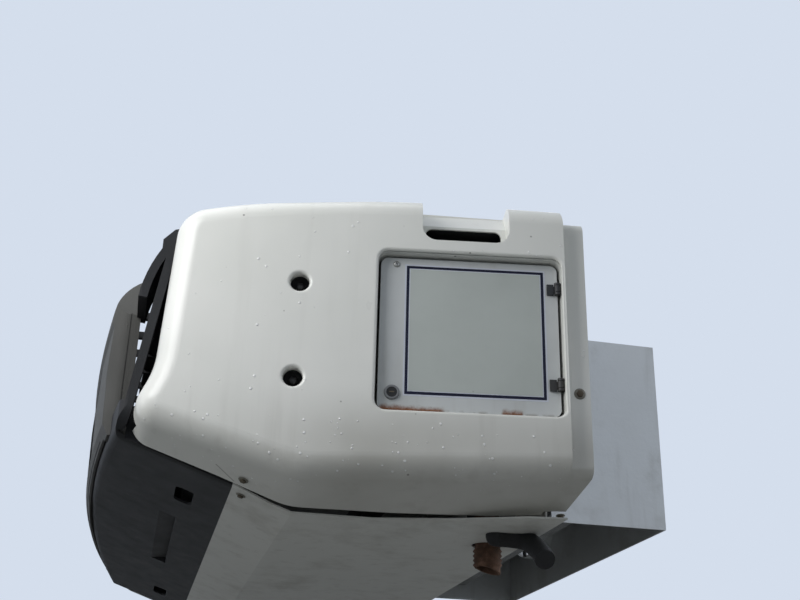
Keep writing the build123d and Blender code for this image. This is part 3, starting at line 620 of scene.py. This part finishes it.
# Fasteners: places in the side frame (s, z) or in the part's own frame
screwHead = {"s": 0.340, "z": 0.277, "radius": 0.0058, "height": 0.0030, "slot": 0.0011,
             "sunk": 0.0004, "turn": 0.4, "cross": 0.55, "proud": 0.0001}
lockSpot = {"s": 0.343, "z": 0.040, "ring": 0.0130, "hole": 0.0090, "proud": 0.0038,
            "edge": 0.0012, "lip": 0.0008, "holeEdge": 0.0006, "barrel": 0.0030,
            "barrelFace": 0.0003,
            "slotHalf": 0.0042, "slotThick": 0.0009}
hexBolt = {"flats": 0.0110, "height": 0.0034, "washer": 0.0098, "washerThick": 0.0014}


def makeDoorScrew():
    bm = bmesh.new()
    radius = screwHead["radius"]
    height = screwHead["height"]
    slot = screwHead["slot"]
    place = onSide(screwHead["s"], doorFace, screwHead["z"])
    rows = [(radius, -screwHead["sunk"]), (radius, height * 0.30), (radius * 0.86, height * 0.72),
            (radius * 0.5, height), (0.0, height)]
    lathe(bm, rows, place, 24)
    # the cross slot is drawn as two dark bars of painted shade on the head
    reach = radius * screwHead["cross"]
    for turn in (screwHead["turn"], screwHead["turn"] + math.pi / 2):
        bar = place @ Matrix.Rotation(turn, 4, "Z")
        block(bm, (-reach, -slot / 2, height * 0.55),
              (reach, slot / 2, height + screwHead["proud"]), bar, 1)
    newPiece("doorScrew", bm, [brightMetal, holeShade], "control_door")


def makeLockRing():
    bm = bmesh.new()
    ring = lockSpot["ring"]
    hole = lockSpot["hole"]
    proud = lockSpot["proud"]
    barrel = lockSpot["barrel"]
    face = barrel + lockSpot["barrelFace"]
    place = onSide(lockSpot["s"], doorFace, lockSpot["z"])
    lathe(bm, [(ring, 0.0), (ring, proud * 0.6), (ring - lockSpot["edge"], proud),
               (hole + lockSpot["lip"], proud), (hole, proud - lockSpot["holeEdge"]),
               (hole, face)], place, 32)
    # the keyhole's floor is painted shade
    lathe(bm, [(hole, face), (0.0, face)], place, 32, 1)
    half = lockSpot["slotHalf"]
    thick = lockSpot["slotThick"]
    block(bm, (-half, -thick, barrel), (half, thick, barrel + thick), place, 2)
    newPiece("lockRing", bm, [lockGrey, holeShade, agedBolt], "control_door")


def addBolt(bm, matrix, scale):
    # a washer and a six-sided head
    washer = hexBolt["washer"] * scale
    thick = hexBolt["washerThick"] * scale
    lathe(bm, [(0.0, 0.0), (washer, 0.0), (washer, thick * 0.7), (washer * 0.94, thick),
               (0.0, thick)], matrix, 24)
    head = hexBolt["flats"] * scale / math.sqrt(3)
    top = thick + hexBolt["height"] * scale
    lathe(bm, [(0.0, thick * 0.9), (head, thick * 0.9), (head, top * 0.9), (head * 0.88, top),
               (0.0, top)], matrix, 6, 1)


boltsOnCovers = [  # piece, place, outward direction, scale
    ("stripBolt", tuple(sideFrame @ Vector((0.0250, -0.0222, 0.0520))), outward, 1.0),
    ("underBolt", (0.7907, -0.5597, -0.2470), underOut, 0.9),
    ("bellyBolt", (0.7198, -0.5560, -0.2555), bellyOut, 0.9),
    ("cornerBoltHigh", (0.8129, -0.0125, -0.2700), cornerOut, 0.8),
    ("cornerBoltLow", (0.7790, -0.0225, -0.2765), cornerOut, 0.8),
]


def makeCoverBolts():
    for name, at, direction, scale in boltsOnCovers:
        for hand in ("Left", "Right"):
            bm = bmesh.new()
            place = facing(at, direction)
            addBolt(bm, place if hand == "Left" else onRight(place), scale)
            newPiece(name + hand, bm, [zincGrey, agedBolt], "unit")


makeDoorScrew()
makeLockRing()
makeCoverBolts()
print("label, lock and fasteners made")

# Wells of painted shade behind the two ports, each with a plug, and behind the hand grip's slot
ports = [("portHigh", 0.506, 0.225), ("portLow", 0.508, 0.053)]  # piece, s, z
portWell = {"n": -0.0300, "skin": 0.0004, "radius": 0.0160, "rim": 0.0140, "plug": 0.0075,
            "plugSkin": 0.0005, "plugEdge": 0.0070, "plugNeck": 0.0062, "plugTop": 0.0085}
gripWell = {"front": 0.2900, "rear": 0.1500, "low": 0.3160, "high": 0.3660, "deep": -0.1000,
            "mouth": -0.0475, "bar": 0.3400, "barThick": 0.006, "barSetback": 0.010}


def makePortWells():
    floorLevel = portWell["skin"]
    plug = portWell["plug"]
    for name, s, z in ports:
        for hand in ("Left", "Right"):
            bm = bmesh.new()
            place = onSide(s, portWell["n"], z)
            place = place if hand == "Left" else onRight(place)
            lathe(bm, [(0.0, floorLevel), (portWell["radius"], floorLevel),
                       (portWell["radius"], portWell["rim"])], place)
            lathe(bm, [(0.0, portWell["plugSkin"]), (plug, portWell["plugSkin"]),
                       (plug, portWell["plugEdge"]), (portWell["plugNeck"], portWell["plugTop"]),
                       (0.0, portWell["plugTop"])], place, 6, 1)
            newPiece(name + hand, bm, [holeShade, blackPaint], "unit")


def makeGripWells():
    front, rear, deep, mouthAt = [gripWell[key] for key in ("front", "rear", "deep", "mouth")]
    bar = gripWell["bar"]
    for hand in ("Left", "Right"):
        bm = bmesh.new()
        place = sideFrame if hand == "Left" else onRight(sideFrame)
        block(bm, (rear, deep, gripWell["low"]), (front, mouthAt, gripWell["high"]), place)
        mouth = max(bm.faces, key=lambda f: (place.inverted() @ f.calc_center_median()).y)
        bmesh.ops.delete(bm, geom=[mouth], context="FACES_ONLY")
        block(bm, (rear, deep, bar), (front, mouthAt - gripWell["barSetback"],
                                      bar + gripWell["barThick"]), place, 1)
        newPiece("gripWell" + hand, bm, [holeShade, grille], "unit")


makePortWells()
makeGripWells()

# Black lips that close the front: inside the grille's top bar, and under the shield a dark strip of
# painted shade for the gap
grilleLip = {"rows": ((0.000, -0.757), (0.100, -0.752), (0.330, -0.7435), (0.560, -0.7365),
                      (0.686, -0.7360)),  # x of both hands, front y
             "rear": -0.7345, "low": 0.150, "high": 0.166}
chinGapShade = {"half": 0.600, "steps": 24, "axis": 5.0740, "radius": 5.9000, "deep": 0.010,
           "low": -0.1500, "high": -0.1440}


def makeFrontLips():
    bm = bmesh.new()
    rows = grilleLip["rows"]
    front = [(-x, y) for x, y in reversed(rows[1:])] + list(rows)
    rear = [(x, grilleLip["rear"]) for x, y in front]
    band(bm, front, rear, grilleLip["low"], grilleLip["high"])
    newPiece("grilleLip", bm, [grille], "unit")
    bm = bmesh.new()
    rear = []
    for k in range(chinGapShade["steps"] + 1):
        x = chinGapShade["half"] * (2 * k / chinGapShade["steps"] - 1)
        rear.append((x, chinGapShade["axis"] - math.sqrt(chinGapShade["radius"] ** 2 - x * x)))
    front = [(x, y - chinGapShade["deep"]) for x, y in rear]
    band(bm, front, rear, chinGapShade["low"], chinGapShade["high"])
    newPiece("chinGapShade", bm, [seal], "unit")


# Drain hose below the belly, its front end rounded, and the pleated end of the exhaust
drain = {"radius": 0.0180, "capSteps": 5, "capFit": 0.996, "capBack": -0.004,
         "route": [(0.700, -0.094, -0.2890), (0.700, -0.062, -0.2895), (0.712, -0.038, -0.2960),
                   (0.748, -0.029, -0.3200), (0.776, -0.029, -0.3405)]}
pleats = {"x": 0.600, "y": -0.078, "top": -0.292, "pitch": 0.0085, "count": 4, "radius": 0.0242,
          "deep": 0.0032, "lap": 0.001}


def makeDrainHose():
    bm = bmesh.new()
    hose(bm, drain["route"], drain["radius"])
    radius = drain["radius"] * drain["capFit"]
    steps = drain["capSteps"]
    arc = [(radius * math.cos(a), radius * math.sin(a))
           for a in (math.pi / 2 * k / steps for k in range(steps))]
    rows = [(0.0, drain["capBack"]), (radius, drain["capBack"])] + arc + [(0.0, radius)]
    lathe(bm, rows, facing(drain["route"][0], (0.0, -1.0, 0.0)), 24)
    newPiece("drainHose", bm, [seal], "unit")


def makePleats():
    bm = bmesh.new()
    rows = []
    for k in range(pleats["count"] * 2 + 1):
        swell = pleats["deep"] if k % 2 else 0.0
        rows.append((pleats["radius"] + swell, pleats["top"] - k * pleats["pitch"] / 2))
    inner = pleats["radius"] - pleats["lap"]
    rows = [(inner, pleats["top"] + pleats["lap"])] + rows
    rows.append((inner, rows[-1][1] - pleats["lap"]))
    lathe(bm, rows, Matrix.Translation((pleats["x"], pleats["y"], 0.0)), 36)
    newPiece("exhaustPleats", bm, [rust], "unit")


makeFrontLips()
makeDrainHose()
makePleats()
print("wells, lips, hose and pleats made")

# Wire guards over the evaporator fans
guard = {"x": 0.240, "y": 0.3425, "z": 0.005, "rings": (0.035, 0.065, 0.095, 0.124),
         "wire": 0.0016, "arms": 4, "armFrom": 0.030, "reach": 0.134, "armLow": -0.0028,
         "armHigh": -0.0008}


def makeGuards():
    wire = guard["wire"]
    arms = guard["arms"]
    section = [(wire * math.cos(a), wire * math.sin(a)) for a in (math.pi * j / 3 for j in range(7))]
    for hand, x in (("Left", guard["x"]), ("Right", -guard["x"])):
        bm = bmesh.new()
        place = facing((x, guard["y"], guard["z"]), (0.0, 1.0, 0.0))
        for ring in guard["rings"]:
            lathe(bm, [(ring + out, height) for out, height in section], place, 40)
        for k in range(arms):
            arm = place @ Matrix.Rotation(math.pi / arms + k * 2 * math.pi / arms, 4, "Z")
            block(bm, (guard["armFrom"], -wire, guard["armLow"]),
                  (guard["reach"], wire, guard["armHigh"]), arm)
        newPiece("fanGuard" + hand, bm, [blackPaint], "unit")


makeGuards()
print("fan guards made")
